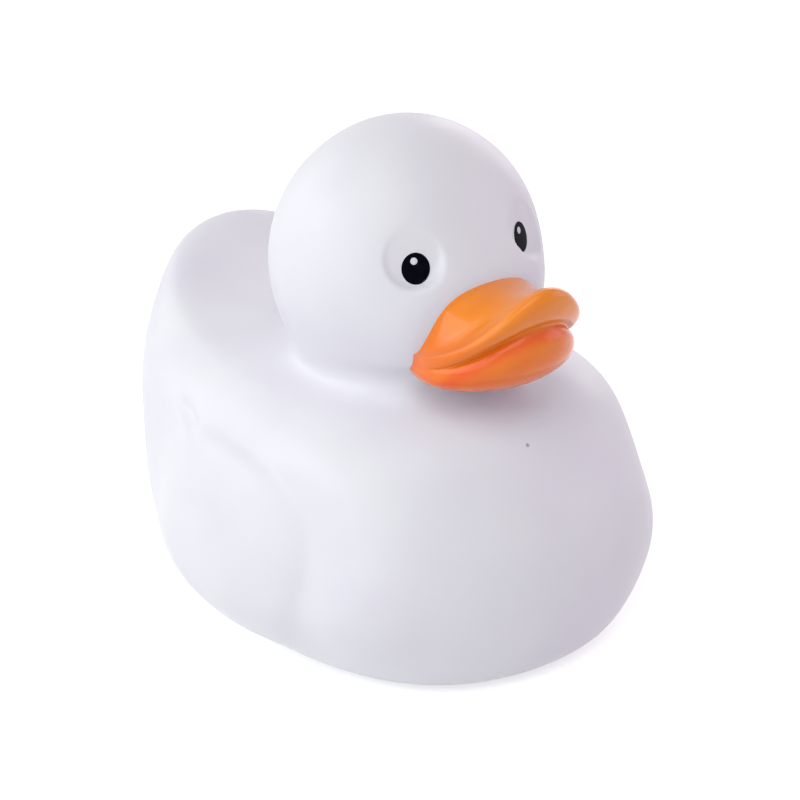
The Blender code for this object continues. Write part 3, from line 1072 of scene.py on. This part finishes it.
@dataclass(frozen=True)
class Eyes:
    """Both printed eyes: a pale underprint, the black oval and its catch-light."""

    head: Head
    flat: EyeFlat
    places: dict[Side, tuple[float, float]] = field(
        default_factory=lambda: {Side.LEFT: (9.25, 59.8), Side.RIGHT: (9.75, 59.4)}
    )
    rim: Print = Print("eye_rim", 2.16, 2.36, 0.07)
    pupil: Print = Print("eye_black", 2.05, 2.25, 0.14)
    dot: Print = Print("eye_dot", 0.54, 0.54, 0.22, 1.05, -0.22)

    def build(
        self, shell: bpy.types.Object, black: bpy.types.Material, white: bpy.types.Material
    ) -> list[bpy.types.Object]:
        """Print both eyes on the shell.

        Args:
            shell: the finished moulding.
            black: the pupil's ink.
            white: the ink of the rim and the catch-light.

        Returns:
            The printed pieces.
        """
        bm = bmesh.new()
        bm.from_mesh(shell.data)
        ground = BVHTree.FromBMesh(bm)
        bm.free()
        pieces = []
        for side in Side:
            out = Vector(self.flat.plane(side)[1])
            for film, ink in ((self.rim, white), (self.pupil, black), (self.dot, white)):
                piece = film.build(ground, self.head, self.places[side], side, out)
                piece.data.materials.append(ink)
                pieces.append(piece)
        return pieces


# ---------------------------------------------------------------- studio


@dataclass(frozen=True)
class Softbox:
    """A soft lamp that faces the duck."""

    name: str
    azimuth: float
    elevation: float
    size: Span
    power: float
    colour: Colour = WHITE
    distance: float = 0.80

    def hang(self, aim: Vector) -> None:
        """Hang the lamp and turn it to the duck.

        Args:
            aim: the point it faces.
        """
        lamp = bpy.data.lights.new(self.name, "AREA")
        lamp.shape = "RECTANGLE"
        lamp.size, lamp.size_y = self.size
        lamp.energy = self.power
        lamp.color = self.colour
        holder = bpy.data.objects.new(self.name, lamp)
        bpy.context.scene.collection.objects.link(holder)
        back = outward(self.azimuth, self.elevation)
        holder.location = aim + back * self.distance
        holder.rotation_euler = back.to_track_quat("Z", "Y").to_euler()


def outward(azimuth: float, elevation: float) -> Vector:
    """Return the direction from the duck to something that stands round it.

    Args:
        azimuth: degrees round the duck, 0 in front of it and 90 at its left.
        elevation: degrees above the floor.

    Returns:
        The unit vector.
    """
    a, e = math.radians(azimuth), math.radians(elevation)
    return Vector((math.sin(a) * math.cos(e), -math.cos(a) * math.cos(e), math.sin(e)))


@dataclass(frozen=True)
class Studio:
    """A pale sweep, plain soft light and the camera, placed as for the photograph."""

    azimuth: float = -38.0
    elevation: float = 24.2
    distance: float = 361.8
    lens: float = 109.44
    sensor_width: float = 36.0
    clip: Span = (0.01, 20.0)
    aim: tuple[float, float, float] = (-2.64, -7.60, 32.95)
    ambient: float = 0.28
    ambient_colour: Colour = (1.0, 0.95, 1.0)
    floor_size: float = 6.0
    floor_colour: Colour = (0.82, 0.82, 0.83)
    floor_roughness: float = 0.9
    floor_lift: float = 0.56
    lamps: tuple[Softbox, ...] = field(
        default=(
            Softbox("key", -112.0, 27.0, (0.60, 0.50), 1.68, (0.92, 0.99, 1.0)),
            Softbox("side", -74.0, 18.0, (0.50, 0.50), 1.12, (0.94, 0.99, 1.0)),
            Softbox("top", -46.0, 60.0, (0.60, 0.60), 1.9),
            Softbox("rear", -154.0, 25.0, (0.60, 0.50), 1.05),
            Softbox("front", -15.0, 8.0, (0.60, 0.30), 0.2, (0.90, 1.0, 1.0)),
            Softbox("right", 60.0, 14.0, (0.60, 0.50), 1.05, (1.0, 0.78, 0.97)),
            Softbox("rim", 118.0, 20.0, (0.50, 0.50), 1.1, (1.0, 0.93, 1.0)),
        )
    )

    def seen_or_mirrored(self, tree: bpy.types.NodeTree) -> bpy.types.NodeSocket:
        """Add a value that is 1 where the camera, a gloss or a glass sees the surface.

        Args:
            tree: the node tree it goes into.

        Returns:
            The value.
        """
        path = tree.nodes.new("ShaderNodeLightPath")
        total = path.outputs["Is Camera Ray"]
        for name in ("Is Glossy Ray", "Is Transmission Ray"):
            highest = tree.nodes.new("ShaderNodeMath")
            highest.operation = "MAXIMUM"
            tree.links.new(total, highest.inputs[0])
            tree.links.new(path.outputs[name], highest.inputs[1])
            total = highest.outputs[0]
        return total

    def lay_floor(self) -> bpy.types.Object:
        """Lay the pale floor, which shows white but for the duck's contact shadow."""
        bm = bmesh.new()
        bmesh.ops.create_grid(bm, x_segments=2, y_segments=2, size=self.floor_size / 2.0)
        floor = write_object("floor", bm)
        material = bpy.data.materials.new("sweep")
        material.use_nodes = True
        tree = material.node_tree
        shader = tree.nodes["Principled BSDF"]
        shader.inputs["Base Color"].default_value = opaque(self.floor_colour)
        shader.inputs["Roughness"].default_value = self.floor_roughness
        shader.inputs["Emission Color"].default_value = opaque(WHITE)
        lift = tree.nodes.new("ShaderNodeMath")
        lift.operation = "MULTIPLY"
        lift.inputs[1].default_value = self.floor_lift
        tree.links.new(self.seen_or_mirrored(tree), lift.inputs[0])
        tree.links.new(lift.outputs[0], shader.inputs["Emission Strength"])
        floor.data.materials.append(material)
        return floor

    def light_world(self) -> None:
        """Fill the room with soft light, and show it white."""
        world = bpy.data.worlds.new("room")
        bpy.context.scene.world = world
        world.use_nodes = True
        tree = world.node_tree
        ground = tree.nodes["Background"]
        seen = self.seen_or_mirrored(tree)
        strength = tree.nodes.new("ShaderNodeMapRange")
        tree.links.new(seen, strength.inputs["Value"])
        strength.inputs["To Min"].default_value = self.ambient
        strength.inputs["To Max"].default_value = 1.0
        tree.links.new(strength.outputs["Result"], ground.inputs["Strength"])
        tint = tree.nodes.new("ShaderNodeMix")
        tint.data_type = "RGBA"
        tree.links.new(seen, tint.inputs[0])
        tint.inputs[6].default_value = opaque(self.ambient_colour)
        tint.inputs[7].default_value = opaque(WHITE)
        tree.links.new(tint.outputs[2], ground.inputs["Color"])

    def set_camera(self) -> None:
        """Stand the camera where the photograph was taken from."""
        camera = bpy.data.cameras.new("camera")
        camera.sensor_width = self.sensor_width
        camera.lens = self.lens
        camera.clip_start, camera.clip_end = self.clip
        holder = bpy.data.objects.new("camera", camera)
        bpy.context.scene.collection.objects.link(holder)
        back = outward(self.azimuth, self.elevation)
        holder.location = (Vector(self.aim) + back * self.distance) * MM
        holder.rotation_euler = back.to_track_quat("Z", "Y").to_euler()
        bpy.context.scene.camera = holder

    def build(self) -> None:
        """Set up floor, light and camera."""
        bpy.context.scene.view_settings.view_transform = "Standard"
        self.lay_floor()
        self.light_world()
        for lamp in self.lamps:
            lamp.hang(Vector(self.aim) * MM)
        self.set_camera()


# ---------------------------------------------------------------- the whole scene


def report(piece: bpy.types.Object) -> None:
    """Log a piece's size and how many faces it has."""
    size = " x ".join(f"{side / MM:.1f}" for side in piece.dimensions)
    LOG.info("%s: %s mm, %d faces", piece.name, size, len(piece.data.polygons))


def main() -> None:
    """Build the duck and its studio."""
    logging.basicConfig(level=logging.INFO, format="%(message)s")
    head = Head()
    flat = EyeFlat(head)
    body = Body(head, Wing(), BillFillet(head), flat)
    shell = Moulding(body, Bill()).build(VinylFinish().material(), BillPaintFinish().material())
    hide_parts(CAD_NODE)
    black = InkFinish("black_print", (0.001, 0.001, 0.004), (0.003, 0.003, 0.007)).material()
    white = InkFinish("white_print", (0.84, 0.83, 0.88), (0.74, 0.73, 0.79)).material()
    for piece in [shell, *Eyes(head, flat).build(shell, black, white)]:
        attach(piece, BODY_NAME)
        report(piece)
    Studio().build()


if __name__ == "__main__":
    main()
